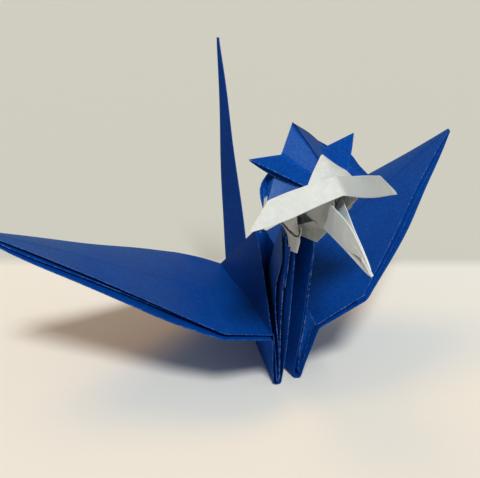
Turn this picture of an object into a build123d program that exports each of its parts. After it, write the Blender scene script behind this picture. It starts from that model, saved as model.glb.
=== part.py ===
from build123d import *
import os
from math import cos, radians, sin, sqrt, tan

os.makedirs("parts", exist_ok=True)

# Paper crane wearing a folded helmet, one folded sheet, in millimetres.
# X runs across the wings, the beak points along -Y and +Z is up.
# The origin is the bottom point of the body, on the table, where the two body halves meet.

# The sheet
paper = 0.2           # a fold is two sheets of about 0.1 mm pressed together
half_square = 75.0    # half the side of the square that body, wings and tail are folded from
layer_gap = 0.5       # between layers that lie loosely on each other

# The body halves, leaning out from the upright, and where they stand
wing_length = 60.0    # root fold to tip
left_lean = 17.5      # degrees
right_lean = 10.0
front_spread = 2.4    # front feet, sideways from the middle
back_spread = 2.6     # back feet, the same
foot_reach = 15.4     # feet to the bottom point, along the beak

# The wings, as degrees above the level for the root panel and the rest
left_root_rise = 15.8
left_tip_rise = 23.7
left_sweep = -1.7     # the root fold turned about the upright
right_root_rise = 31.5
right_tip_rise = 34.5
right_sweep = 7.7
slit_root = 1.0       # opening between a wing's two layers, at its root
slit_middle = 2.7     # the same, part way along the front edge
slit_place = 0.4      # that place, as a share of the edge
left_slit_wide = 1.5  # the same, at the widest corner
right_slit_wide = 2.5

# The tail
tail_length = 77.4
tail_lean = 27.2      # degrees back from the upright
tail_offset = 1.0     # tip, sideways

# The neck's two sides, open to the front
neck_front_reach = 21.2
neck_front_height = 34.2
neck_spread = 2.2
notch_reach = 6.9     # where the neck's back edge leaves the hump
notch_height = 28.8
wrap_spread = 2.7     # outer layer round the neck's foot
wrap_reach = 14.0     # its bend
wrap_height = 24.0
wrap_top_reach = 17.0
wrap_top_height = 30.6
wrap_point_reach = 15.4
wrap_point_height = 36.6

# The helmet, a square set on one corner and opened like a purse
brim_half = 17.7      # middle of the brim to its pointed end
brim_width = 4.1
left_brim_cut = 5.2   # how far the end of the band slants
right_brim_cut = 2.2
helmet_offset = 1.6   # middle of the brim, sideways
helmet_reach = 31.7
helmet_height = 48.1
helmet_turn = 13.4    # degrees about the upright
helmet_pitch = 36.4   # degrees, the line from brim to peak above the level
brim_fold = 16.0      # degrees, each side of the brim swept back
helmet_open = 32.0    # degrees between front and back at the peak

# The white badge that is folded up over the brim
badge_height = 8.8
badge_half = 5.6
badge_lift = 1.0

# The horns: root fold on the panel's edge and above the brim, tip off the panel
horn_root_rise = 12.0
horn_root_run = 4.8
left_horn_run = 11.8
left_horn_rise = 13.0
left_horn_lift = 0.6
right_horn_run = 11.4
right_horn_rise = 13.6
right_horn_lift = 3.0
horn_slit = 1.0

# The head and beak under the brim
beak_length = 19.4
beak_droop = 4.0      # degrees below the level
chin_offset = 2.0
chin_reach = 23.0
chin_height = 36.3
throat_offset = 1.0
throat_reach = 17.4
throat_height = 35.6
beak_root_offset = 1.0
beak_root_reach = 26.2
beak_root_height = 40.6
beak_left_run = 1.6   # top edge of the beak's left side, along the brim
beak_left_drop = 1.3
beak_right_run = 1.6
beak_right_drop = 1.0
cheek_run = 4.8       # right end of the head, along the brim


def facet(*corners):
    """One flat facet on its corners, grown by half the paper so that it joins its neighbours at the folds."""
    first_side = corners[1] - corners[0]
    normal = first_side.cross(corners[2] - corners[0])
    plane = Plane(origin=corners[0], x_dir=first_side, z_dir=normal)
    with BuildSketch(plane.offset(-paper / 2)) as outline:
        with BuildLine():
            Polyline(*[plane.to_local_coords(corner) for corner in corners], close=True)
        make_face()
        offset(amount=paper / 2, kind=Kind.INTERSECTION)
    extrude(outline.sketch, amount=paper)


def fan(apex, *rim):
    """Triangular facets from one corner to each pair of neighbours on a rim."""
    for first, second in zip(rim, rim[1:]):
        facet(apex, first, second)


def between(start, end, share):
    """The point at a share of the way from start to end."""
    return start + (end - start) * share


# Proportions of the flat bird base, measured up from the points of its legs
narrow = tan(radians(11.25))
corner = tan(radians(22.5))
fold_height = 2 * half_square - wing_length
widest_height = 2 * half_square * corner / (corner + narrow)
root_half = narrow * fold_height
widest_half = narrow * widest_height
body_depth = fold_height - half_square
hump_height = half_square * sqrt(2) - fold_height

floor = paper / 2
up = Vector(0, 0, 1)
bottom = up * floor


def half_points(side, lean, sweep, root_rise, tip_rise, slit_wide):
    """Named corners of one body half and its wing; side is -1 for the left and 1 for the right."""
    turn = radians(sweep)
    fold_line = Vector(-sin(turn), cos(turn), 0)
    outward = Vector(cos(turn), sin(turn), 0) * side
    root = outward * cos(radians(root_rise)) + up * sin(radians(root_rise))
    tip = outward * cos(radians(tip_rise)) + up * sin(radians(tip_rise))
    under = outward * sin(radians(tip_rise)) - up * cos(radians(tip_rise))
    middle = bottom + Vector(side * body_depth * sin(radians(lean)), 0, body_depth * cos(radians(lean)))
    widest = middle + root * (widest_height - fold_height)
    front, front_wide = middle - fold_line * root_half, widest - fold_line * widest_half
    wing_tip = widest + tip * (2 * half_square - widest_height)
    return {
        "front": front,
        "back": middle + fold_line * root_half,
        "front_wide": front_wide,
        "back_wide": widest + fold_line * widest_half,
        "tip": wing_tip,
        "front_under": front + under * slit_root,
        "front_wide_under": front_wide + under * slit_wide,
        "edge_under": between(front_wide, wing_tip, slit_place) + under * slit_middle,
        "front_foot": Vector(side * front_spread, -foot_reach, floor),
        "back_foot": Vector(side * back_spread, foot_reach, floor),
    }


left = half_points(-1, left_lean, left_sweep, left_root_rise, left_tip_rise, left_slit_wide)
right = half_points(1, right_lean, right_sweep, right_root_rise, right_tip_rise, right_slit_wide)

# Ridge points over the middle of the body
hump_lean = radians((left_lean + right_lean) / 2)
hump_drop = sqrt(hump_height**2 - (body_depth * sin(hump_lean)) ** 2)
hump = bottom + up * (body_depth * cos(hump_lean) + hump_drop)
neck_notch = Vector(0, -notch_reach, notch_height)
tail_back = tail_length * sin(radians(tail_lean))
tail_tip = bottom + Vector(tail_offset, tail_back, tail_length * cos(radians(tail_lean)))

# Helmet frame: across the brim, from brim to peak, and out of the front
turn, pitch, fold = radians(helmet_turn), radians(helmet_pitch), radians(brim_fold)
opening = radians(helmet_open)
across = Vector(cos(turn), sin(turn), 0)
peakward = Vector(-sin(turn) * cos(pitch), cos(turn) * cos(pitch), sin(pitch))
frontward = across.cross(peakward)
brim_middle = Vector(helmet_offset, -helmet_reach, helmet_height)
peak = brim_middle + peakward * brim_half
nape = peak - (peakward * cos(opening) + frontward * sin(opening)) * brim_half
crown = between(nape, peak, 0.5)


def on_panel(side, run, rise, lift=0.0):
    """A point of one half of the helmet's front: out along the brim, up to the peak, and off the face."""
    arm = across * (side * cos(fold)) - frontward * sin(fold)
    normal = frontward * cos(fold) + across * (side * sin(fold))
    return brim_middle + arm * run + peakward * rise + normal * lift


# Head and beak
throat = Vector(throat_offset, -throat_reach, throat_height)
chin = Vector(chin_offset, -chin_reach, chin_height)
beak_root = Vector(beak_root_offset, -beak_root_reach, beak_root_height)
beak_left = on_panel(-1, beak_left_run, -beak_left_drop)
beak_right = on_panel(1, beak_right_run, -beak_right_drop)
cheek = on_panel(1, cheek_run, 0)
beak_level, beak_fall = beak_length * cos(radians(beak_droop)), beak_length * sin(radians(beak_droop))
beak_tip = beak_root + Vector(-beak_root_offset, -beak_level, -beak_fall)

with BuildPart() as crane:
    for side, half in ((-1, left), (1, right)):
        # Body half: an outer layer up to the wing's lower layer, an inner layer up to the upper one
        fan(bottom, half["front_foot"], half["front_under"], half["back"], half["back_foot"])
        facet(bottom, half["front_foot"], half["front"])
        facet(half["front"], half["back"], hump)
        # Wing: flat upper layer, and a lower layer that gapes at the front edge
        facet(half["front"], half["back"], half["back_wide"], half["front_wide"])
        facet(half["front_wide"], half["back_wide"], half["tip"])
        fan(half["back"], half["front_under"], half["front_wide_under"], half["back_wide"])
        fan(half["back_wide"], half["front_wide_under"], half["edge_under"], half["tip"])
        # Tail side
        facet(bottom, half["back_foot"], tail_tip)
        # Neck side and the outer layer round its foot
        neck_front = Vector(side * neck_spread, -neck_front_reach, neck_front_height)
        fan(bottom, half["front_foot"], neck_front, neck_notch)
        fan(neck_notch, neck_front, nape, crown)
        wrap_bend = Vector(side * wrap_spread, -wrap_reach, wrap_height)
        wrap_top = Vector(side * wrap_spread, -wrap_top_reach, wrap_top_height)
        wrap_point = Vector(side * wrap_spread, -wrap_point_reach, wrap_point_height)
        fan(neck_notch, wrap_point, wrap_top, wrap_bend, bottom)
        facet(bottom, half["front_foot"], wrap_bend)

    # Webs that close the body under the hump
    facet(bottom, hump, neck_notch)
    facet(bottom, hump, between(bottom, tail_tip, 0.36))

    for side, cut in ((-1, left_brim_cut), (1, right_brim_cut)):
        # Helmet front, back and white band
        brim_end = on_panel(side, brim_half, 0)
        facet(brim_middle, brim_end, peak)
        facet(peak, brim_end, nape)
        band_top = on_panel(side, 0, brim_width, layer_gap)
        band_corner = on_panel(side, brim_half - cut, brim_width, layer_gap)
        facet(brim_middle, brim_end, band_corner)
        facet(brim_middle, band_corner, band_top)
        # Half of the badge
        badge_base = on_panel(side, badge_half, brim_width, layer_gap)
        badge_tip = on_panel(1, 0, badge_height, badge_lift)
        facet(band_top, badge_base, badge_tip)

    for side, run, rise, lift in (
        (-1, left_horn_run, left_horn_rise, left_horn_lift),
        (1, right_horn_run, right_horn_rise, right_horn_lift),
    ):
        # Horn: two layers that meet along its upper edge
        root_top = on_panel(side, brim_half - horn_root_rise, horn_root_rise)
        root_upper = on_panel(side, horn_root_run, brim_width, layer_gap + horn_slit)
        root_lower = on_panel(side, horn_root_run, brim_width, layer_gap)
        horn_tip = on_panel(side, run, rise, lift)
        facet(root_top, root_upper, horn_tip)
        facet(root_top, root_lower, horn_tip)

    # Head: throat, chin and cheek, white side out
    fan(nape, throat, chin, beak_root, beak_left)
    facet(beak_root, beak_right, cheek)
    facet(throat, chin, Vector(neck_spread, -neck_front_reach, neck_front_height))
    # Beak: two sides that meet along its lower edge, open above
    facet(beak_root, beak_left, beak_tip)
    facet(beak_root, beak_right, beak_tip)

    # The folds that it stands on are pressed flat on the table
    split(bisect_by=Plane.XY, keep=Keep.TOP)

crane.part.label = "crane"
export_step(crane.part, "parts/crane.step")
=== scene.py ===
import bpy
import numpy as np
from math import cos, pi, radians, sin, sqrt, tan
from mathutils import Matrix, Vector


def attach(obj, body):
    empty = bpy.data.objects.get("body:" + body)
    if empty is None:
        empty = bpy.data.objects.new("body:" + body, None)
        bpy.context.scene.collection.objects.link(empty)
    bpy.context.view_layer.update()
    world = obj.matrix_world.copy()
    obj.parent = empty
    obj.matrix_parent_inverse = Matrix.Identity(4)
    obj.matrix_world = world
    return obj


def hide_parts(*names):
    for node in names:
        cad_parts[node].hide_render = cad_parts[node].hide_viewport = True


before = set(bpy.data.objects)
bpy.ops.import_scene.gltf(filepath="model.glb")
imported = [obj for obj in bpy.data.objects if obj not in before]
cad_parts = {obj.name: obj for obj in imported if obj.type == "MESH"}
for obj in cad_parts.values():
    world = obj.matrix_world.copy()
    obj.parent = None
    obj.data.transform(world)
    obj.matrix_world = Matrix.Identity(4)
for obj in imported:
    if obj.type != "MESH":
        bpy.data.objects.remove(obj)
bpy.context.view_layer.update()        # one body, "root", with one node, "crane"

# A paper crane in a folded helmet. Places are millimetres in the crane's own frame: X across the wings,
# the beak along -Y, +Z up, origin under the body. Meshes are made in metres.
MM = 0.001

# The sheet
SINGLE = 0.11         # one layer of paper, up to 1.6 times as thick where its rough edge shows
GATHERED = 0.14       # thin layers, gathered or in a small flap
NARROW = 0.16         # two layers in a narrow flap
PRESSED = 0.18        # two layers pressed flat
FOLDED = 0.2          # two layers folded by hand
half_square = 75.0    # half the side of the square that body, wings and tail are folded from
wing_length = 60.0    # from a wing's fold line to its tip

# The helmet: middle of the brim, and its turn, pitch and fold in degrees
brim_middle = np.array((1.6, -31.7, 48.1))
helmet_turn, helmet_pitch, brim_fold = 13.4, 36.4, 16.0

# The view: place, azimuth, elevation and roll in degrees, and the lens
camera_place = (-52.3, -127.9, 84.5)
camera_azimuth, camera_elevation, camera_roll = -20.05, 22.26, 0.525
camera_lens = 49.16


# How paper is shaped

FOLD_STEPS = 4        # divisions of a rounded fold
RIM_STEPS = 4         # divisions of the half round at an edge
HEM = 0.12            # first line of points inside an edge
FOLD_SHARE = 0.45     # the most of a panel that a fold's rounding takes
EDGE_WEAR, FOLD_WEAR = 0.7, 0.45   # usual wear of edges and of folds


def at(x, y, z):
    """A point, in millimetres."""
    return np.array((x, y, z), float)


def between(start, end, share):
    """The point at a share of the way from start to end."""
    return start + (end - start) * share


def per_panel(value, count):
    """The same value for each of count panels or folds, or the list as given."""
    return list(value) if isinstance(value, (list, tuple)) else [value] * count


def soften(lines, steps, radius, worn, crease_shade):
    """Points across a row of fold lines, where lines[k] holds the points along fold line k.

    Between two lines a point runs straight, in steps[k] steps. Within the fold's radius of an inner line it
    runs on the parabola tangent to both panels: (1-s)^2 before + 2s(1-s) line + s^2 after. Returns the rows
    of points, each row's place from 0 to 1, and its wear marks and its marks of painted shade in the
    creases.
    """
    lines = np.asarray(lines, float)
    last = len(lines) - 1
    hop = np.diff(lines, axis=0)
    span = np.maximum(np.linalg.norm(hop, axis=-1, keepdims=True), 1e-6)
    way = hop / span
    reach = [0.0, *(np.minimum(r, FOLD_SHARE * np.minimum(before, after))
                    for r, before, after in zip(radius, span, span[1:])), 0.0]
    rows, place, wear, crease = [], [], [], []
    for k in range(last):
        start, end = lines[k] + way[k] * reach[k], lines[k + 1] - way[k] * reach[k + 1]
        share = np.linspace(0, 1, steps[k] + 1)
        rows.append(start + (end - start) * share[:, None, None])
        place.append(k + share)
        wear.append(np.zeros(len(share)))
        crease.append(np.zeros(len(share)))
        if k + 1 < last:
            after = lines[k + 1] + way[k + 1] * reach[k + 1]
            s = np.linspace(0, 1, FOLD_STEPS + 1)[1:-1]
            t = s[:, None, None]
            rows.append((1 - t) ** 2 * end + 2 * t * (1 - t) * lines[k + 1] + t**2 * after)
            place.append(np.full(len(s), k + 1.0))
            peak = 1 - np.abs(2 * s - 1)
            wear.append(worn[k + 1] * peak)
            crease.append(crease_shade[k + 1] * peak)
    rows, place = np.concatenate(rows), np.concatenate(place) / last
    wear, crease = np.concatenate(wear), np.concatenate(crease)
    wear[0], wear[-1] = worn[0], worn[-1]
    crease[0], crease[-1] = crease_shade[0], crease_shade[-1]
    return rows, place, wear, crease


def hem(rows, place, wear, crease):
    """One more row close inside the first and the last, so that an edge's rounding and wear stay narrow."""
    def inside(edge, neighbour):
        """The row at HEM from an edge row towards its neighbour, or at 0.4 of the gap if that is less."""
        gap = np.maximum(np.linalg.norm(rows[neighbour] - rows[edge], axis=-1, keepdims=True), 1e-6)
        return between(rows[edge], rows[neighbour], np.minimum(0.4, HEM / gap))
    rows = np.concatenate((rows[:1], inside(0, 1)[None], rows[1:-1], inside(-1, -2)[None], rows[-1:]))
    place = np.concatenate((place[:1], place[:1], place[1:-1], place[-1:], place[-1:]))
    quiet = np.zeros(1)
    wear = np.concatenate((wear[:1], quiet, wear[1:-1], quiet, wear[-1:]))
    crease = np.concatenate((crease[:1], quiet, crease[1:-1], quiet, crease[-1:]))
    return rows, place, wear, crease


def normals_of(grid):
    """Unit normals of a grid of points: the cross product of its two differences."""
    first, second = np.gradient(grid, axis=0), np.gradient(grid, axis=1)
    normal = np.cross(first, second)
    return normal / np.maximum(np.linalg.norm(normal, axis=-1, keepdims=True), 1e-12)


def handled(points):
    """Points moved a little, as by fingers: along each axis a slow sine of the place on the other two."""
    x, y, z = points[..., 0], points[..., 1], points[..., 2]
    sideways, deep = 0.10 * np.sin(0.21 * y + 0.13 * z + 0.4), 0.08 * np.sin(0.17 * x - 0.19 * z + 1.1)
    upwards = 0.14 * np.sin(0.16 * x + 0.2 * y + 2.3) * np.clip(z / 6, 0, 1)
    return points + np.stack((sideways, deep, upwards), axis=-1)


def paper(name, lines, material, steps=(10, 10), folds=(0.3, 0.3), thick=FOLDED, worn=(None, None),
          crease_shade=(None, None), shade_and_sheen=(None, None), bow=None, lining=None):
    """A folded sheet through a net of points, lines[k][s] on fold line k at station s, as a closed skin.

    The net is softened across its lines and then along them. Each point then moves by bow(a, b) along the
    normal, where a and b are its places across and along. The skin is that surface moved half the thickness
    to each side, closed by half rounds: edge + half (cos f normal + sin f outwards), f from 0 to pi. The
    lining is the colour of the side that the normal points away from. Wear marks and crease-shade marks, a
    painted shade along folds, belong to lines and stations, None for the usual wear and no painted crease
    shade.
    Shade-and-sheen marks are spread evenly over the lines and the stations, run straight between and are
    added
    up: above 0 for the material's sheen-and-shade colour, below 0 for a painted deeper shade.
    """
    net = np.asarray(lines, float)
    counts = net.shape[:2]
    marks = []
    for axis, count in enumerate(counts):
        edge_and_fold = [EDGE_WEAR] + [FOLD_WEAR] * (count - 2) + [EDGE_WEAR]
        marks.append((worn[axis] or edge_and_fold, crease_shade[axis] or [0.0] * count))
    rows, a, wear_a, crease_a = hem(*soften(net, per_panel(steps[0], counts[0] - 1),
                                            per_panel(folds[0], counts[0] - 2), *marks[0]))
    columns, b, wear_b, crease_b = hem(*soften(rows.transpose(1, 0, 2), per_panel(steps[1], counts[1] - 1),
                                               per_panel(folds[1], counts[1] - 2), *marks[1]))
    grid = columns.transpose(1, 0, 2)
    if bow:
        grid = grid + normals_of(grid) * bow(a[:, None], b[None, :])[..., None]
    grid = handled(grid)
    grid[..., 2] = np.maximum(grid[..., 2], thick / 2)
    wear = np.maximum(wear_a[:, None], wear_b[None, :])
    crease = np.maximum(crease_a[:, None], crease_b[None, :])
    # Painted shade and painted sheen, spread over the places across and along and added up.
    shade_a, shade_b = (np.interp(places, np.linspace(0, 1, len(marks)), marks)
                        for places, marks in zip((a, b), ((shade_and_sheen[0] or (0, 0)), (shade_and_sheen[1] or (0, 0)))))
    shade = shade_a[:, None] + shade_b[None, :]

    normal, half = normals_of(grid), thick / 2
    across, along = grid.shape[:2]
    index = np.arange(across * along).reshape(across, along)
    loop = np.concatenate((index[:-1, 0], index[-1, :-1], index[:0:-1, -1], index[0, :0:-1]))
    edge, edge_normal = grid.reshape(-1, 3)[loop], normal.reshape(-1, 3)[loop]
    tangent = np.roll(edge, -1, axis=0) - np.roll(edge, 1, axis=0)
    outward = np.cross(tangent, edge_normal)
    outward /= np.maximum(np.linalg.norm(outward, axis=-1, keepdims=True), 1e-12)
    turn = np.linspace(0, pi, RIM_STEPS + 1)[1:-1, None, None]
    rim = edge + half * (np.cos(turn) * edge_normal + np.sin(turn) * outward)
    points = np.concatenate(((grid + normal * half).reshape(-1, 3), (grid - normal * half).reshape(-1, 3),
                             rim.reshape(-1, 3)))

    top = np.stack((index[:-1, :-1], index[1:, :-1], index[1:, 1:], index[:-1, 1:]), axis=-1).reshape(-1, 4)
    size, length = across * along, len(loop)
    rims = [2 * size + ring * length + np.arange(length) for ring in range(RIM_STEPS - 1)]
    rings = [loop, *rims, loop + size]
    sides = [np.stack((high, low, np.roll(low, -1), np.roll(high, -1)), axis=-1)
             for high, low in zip(rings, rings[1:])]
    faces = np.concatenate([top, top[:, ::-1] + size] + sides)
    mesh = bpy.data.meshes.new(name)
    mesh.from_pydata(points * MM, [], faces.tolist())
    mesh.polygons.foreach_set("use_smooth", np.ones(len(faces), bool))
    # Wear, painted crease shade and painted shade-and-sheen, stored on the points for the material.
    for label, values in (("worn", wear), ("crease_shade", crease), ("shade_and_sheen", shade)):
        flat = values.reshape(-1)
        attribute = mesh.attributes.new(label, "FLOAT", "POINT")
        rim_values = np.tile(flat[loop], RIM_STEPS - 1)
        attribute.data.foreach_set("value", np.concatenate((flat, flat, rim_values)).astype(np.float32))
    mesh.materials.append(material)
    if lining:
        mesh.materials.append(lining)
        reverse = np.arange(len(faces)) // len(top) == 1
        mesh.polygons.foreach_set("material_index", reverse.astype(np.int32))
    mesh.update()
    piece = bpy.data.objects.new(name, mesh)
    bpy.context.scene.collection.objects.link(piece)
    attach(piece, "root")
    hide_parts("crane")
    return piece


# Finishes

def link_all(tree, *pairs):
    """Connects each (output socket, input socket) pair."""
    for out, into in pairs:
        tree.links.new(out, into)


def group_with(name, inputs, outputs):
    """An empty shader group with float inputs, given with their defaults, and named outputs."""
    tree = bpy.data.node_groups.new(name, "ShaderNodeTree")
    for label, default in inputs:
        socket = tree.interface.new_socket(label, in_out="INPUT", socket_type="NodeSocketFloat")
        socket.default_value = default
    for label in outputs:
        tree.interface.new_socket(label, in_out="OUTPUT", socket_type="NodeSocketFloat")
    return tree, tree.nodes.new("NodeGroupInput"), tree.nodes.new("NodeGroupOutput")


def maths(tree, first, second, operation="ADD"):
    """A math node on two sockets or numbers; returns its output."""
    node = tree.nodes.new("ShaderNodeMath")
    node.operation = operation
    for socket, value in zip(node.inputs, (first, second)):
        if isinstance(value, (int, float)):
            socket.default_value = value
        else:
            tree.links.new(value, socket)
    return node.outputs[0]


def noise_on(tree, place, scale, detail=2.0, roughness=0.5):
    """A noise texture on a place; scale is a number or a socket. Returns its value."""
    node = tree.nodes.new("ShaderNodeTexNoise")
    node.inputs["Detail"].default_value = detail
    node.inputs["Roughness"].default_value = roughness
    tree.links.new(place, node.inputs["Vector"])
    if isinstance(scale, (int, float)):
        node.inputs["Scale"].default_value = scale
    else:
        tree.links.new(scale, node.inputs["Scale"])
    return node.outputs["Fac"]


def remap(tree, value, low, high, to_low=0.0, to_high=1.0):
    """Value from the range low to high carried to another range, clamped."""
    node = tree.nodes.new("ShaderNodeMapRange")
    for socket, number in zip(list(node.inputs)[1:5], (low, high, to_low, to_high)):
        socket.default_value = number
    tree.links.new(value, node.inputs["Value"])
    return node.outputs["Result"]


def fibre_group():
    """Pulp fibres: a fine cloudy mottle, a slow cloud, and a height for the surface's tooth."""
    tree, into, out = group_with("paper_fibres", [("Size", 1.0)], ["Mottle", "Cloud", "Height"])
    place = tree.nodes.new("ShaderNodeTexCoord").outputs["Object"]
    fine = noise_on(tree, place, maths(tree, 1500.0, into.outputs["Size"], "DIVIDE"), 3.0, 0.6)
    grain = noise_on(tree, place, 5200.0, 2.0, 0.6)
    cloud = noise_on(tree, place, 95.0, 2.0)
    both = maths(tree, maths(tree, fine, 0.7, "MULTIPLY"), maths(tree, grain, 0.3, "MULTIPLY"))
    mottle = remap(tree, both, 0.32, 0.68)
    height = maths(tree, fine, maths(tree, grain, 0.5, "MULTIPLY"))
    link_all(tree, (mottle, out.inputs["Mottle"]), (cloud, out.inputs["Cloud"]),
             (height, out.inputs["Height"]))
    return tree


def wear_group():
    """Worn folds and edges: the worn mark broken up by noise, where the coat of colour has cracked off."""
    tree, into, out = group_with("worn_folds", [("Worn", 0.0), ("Breaks", 0.5)], ["Mask"])
    place = tree.nodes.new("ShaderNodeTexCoord").outputs["Object"]
    patches = noise_on(tree, place, 420.0, 3.0, 0.6)
    specks = noise_on(tree, place, 2600.0, 1.0)
    broken = maths(tree, maths(tree, patches, specks, "ADD"), into.outputs["Breaks"], "SUBTRACT")
    mask = maths(tree, remap(tree, broken, 0.35, 0.75), into.outputs["Worn"], "MULTIPLY")
    link_all(tree, (mask, out.inputs["Mask"]))
    return tree


def mixed(tree, factor, first, second):
    """A colour mix; each colour is a socket or four numbers. Returns the mixed colour."""
    node = tree.nodes.new("ShaderNodeMix")
    node.data_type = "RGBA"
    for name, value in (("Factor", factor), ("A", first), ("B", second)):
        socket = next(s for s in node.inputs if s.name == name and s.enabled)
        if isinstance(value, (int, float, tuple)):
            socket.default_value = value
        else:
            tree.links.new(value, socket)
    return next(s for s in node.outputs if s.enabled)


def paper_material(name, dark, light, edge, sheen_and_shade_colour, mottle, breaks, size, tooth, roughness, sheen):
    """Coloured paper: two tones mottled by fibres, cracked light folds, painted shade in creases and a
    fibrous tooth.

    A shade-and-sheen mark above 0 lays the sheen-and-shade colour over the colour: a painted sheen on blue
    paper, a painted shade on white paper. A mark below 0, and a crease-shade mark, paint a deeper shade.
    """
    material = bpy.data.materials.new(name)
    material.use_nodes = True
    tree = material.node_tree
    shader = next(n for n in tree.nodes if n.type == "BSDF_PRINCIPLED")
    fibres, wear = tree.nodes.new("ShaderNodeGroup"), tree.nodes.new("ShaderNodeGroup")
    fibres.node_tree, wear.node_tree = FIBRES, WEAR
    fibres.inputs["Size"].default_value = size
    wear.inputs["Breaks"].default_value = breaks
    marks = []
    for label in ("worn", "crease_shade", "shade_and_sheen"):
        mark = tree.nodes.new("ShaderNodeAttribute")
        mark.attribute_name = label
        marks.append(mark.outputs["Fac"])
    tree.links.new(marks[0], wear.inputs["Worn"])
    blend = maths(tree, maths(tree, fibres.outputs["Mottle"], mottle, "MULTIPLY"),
                   maths(tree, fibres.outputs["Cloud"], 1 - mottle, "MULTIPLY"))
    colour = mixed(tree, blend, dark, light)
    uneven = maths(tree, maths(tree, fibres.outputs["Mottle"], 0.4, "MULTIPLY"), 0.8)
    # Painted sheen on blue paper and painted shade on white paper, where a shade-and-sheen mark is above 0.
    sheen_and_shade_mask = maths(tree, maths(tree, marks[2], 0.0, "MAXIMUM"), uneven, "MULTIPLY")
    colour = mixed(tree, sheen_and_shade_mask, colour, sheen_and_shade_colour)
    # Painted shade: shade-and-sheen marks below 0 and crease-shade marks, whichever is stronger, darken the
    # colour.
    painted_shade_mask = maths(tree, maths(tree, marks[2], -1.0, "MULTIPLY"), maths(tree, marks[1], 0.55, "MULTIPLY"),
                     "MAXIMUM")
    colour = mixed(tree, painted_shade_mask, colour, tuple(c * 0.3 for c in dark[:3]) + (1,))
    colour = mixed(tree, wear.outputs["Mask"], colour, edge)
    bump = tree.nodes.new("ShaderNodeBump")
    bump.inputs["Strength"].default_value = 1.0
    bump.inputs["Distance"].default_value = tooth * MM
    link_all(tree, (colour, shader.inputs["Base Color"]), (fibres.outputs["Height"], bump.inputs["Height"]),
             (bump.outputs["Normal"], shader.inputs["Normal"]))
    shader.inputs["Roughness"].default_value = roughness
    shader.inputs["Specular IOR Level"].default_value = 0.045
    shader.inputs["Sheen Weight"].default_value = sheen
    shader.inputs["Sheen Roughness"].default_value = 0.45
    shader.inputs["Sheen Tint"].default_value = (1, 0.9, 0.86, 1)
    return material


FIBRES, WEAR = fibre_group(), wear_group()
wing_blue = paper_material("wing_blue", dark=(0.0, 0.019, 0.16, 1), light=(0.0, 0.080, 0.41, 1),
                           edge=(0.13, 0.21, 0.52, 1), sheen_and_shade_colour=(0.18, 0.28, 0.31, 1), mottle=0.6, breaks=0.6,
                           size=0.8, tooth=0.09, roughness=0.6, sheen=0.005)
helmet_blue = paper_material("helmet_blue", dark=(0.0, 0.025, 0.21, 1), light=(0.0, 0.102, 0.49, 1),
                             edge=(0.20, 0.32, 0.66, 1), sheen_and_shade_colour=(0.16, 0.28, 0.50, 1), mottle=0.8, breaks=0.6,
                             size=0.7, tooth=0.06, roughness=0.55, sheen=0.005)
# A darker, purple-grey copy of the helmet's blue for the right flap's facet: painted shade and glancing
# sheen.
shaded_helmet_blue = paper_material("shaded_helmet_blue", dark=(0.022, 0.045, 0.13, 1), light=(0.045, 0.085, 0.25, 1),
                             edge=(0.20, 0.32, 0.66, 1), sheen_and_shade_colour=(0.0, 0.07, 0.36, 1), mottle=0.8, breaks=0.6,
                             size=1.0, tooth=0.06, roughness=0.6, sheen=0.0)
# A lighter, cyan-tinted copy of the white paper for the beak: painted light where the beak is lit.
lit_beak_white = paper_material("lit_beak_white", dark=(0.68, 0.76, 0.77, 1), light=(0.90, 0.96, 0.96, 1),
                            edge=(0.90, 0.94, 0.93, 1), sheen_and_shade_colour=(0.05, 0.055, 0.06, 1), mottle=0.5, breaks=0.5,
                            size=2.0, tooth=0.06, roughness=0.7, sheen=0.0)
white_side = paper_material("white_side", dark=(0.57, 0.60, 0.57, 1), light=(0.79, 0.82, 0.78, 1),
                            edge=(0.80, 0.82, 0.79, 1), sheen_and_shade_colour=(0.05, 0.055, 0.06, 1), mottle=0.5, breaks=0.5,
                            size=2.0, tooth=0.06, roughness=0.7, sheen=0.0)


# The bird base: body halves and wings

narrow, corner = tan(radians(11.25)), tan(radians(22.5))
fold_height = 2 * half_square - wing_length
widest_height = 2 * half_square * corner / (corner + narrow)
body_depth = fold_height - half_square
hump_height = half_square * sqrt(2) - fold_height
up = at(0, 0, 1)
bottom = up * (FOLDED / 2)
CENTRE_GAP = 0.12     # from the middle plane to the layers that meet there


def half_of(side, lean, sweep, root_rise, tip_rise):
    """Corners of one body half and its wing; side is -1 for the left, 1 for the right, the rest degrees."""
    turn = radians(sweep)
    along = at(-sin(turn), cos(turn), 0)
    outward = at(cos(turn), sin(turn), 0) * side
    root = outward * cos(radians(root_rise)) + up * sin(radians(root_rise))
    tip = outward * cos(radians(tip_rise)) + up * sin(radians(tip_rise))
    middle = bottom + at(side * body_depth * sin(radians(lean)), 0, body_depth * cos(radians(lean)))
    widest = middle + root * (widest_height - fold_height)
    return {
        "along": along,
        "middle": middle,
        "widest": widest,
        "tip": widest + tip * (2 * half_square - widest_height),
        "under": outward * sin(radians(tip_rise)) - up * cos(radians(tip_rise)),
        "root_half": narrow * fold_height,
        "widest_half": narrow * widest_height,
    }


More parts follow.
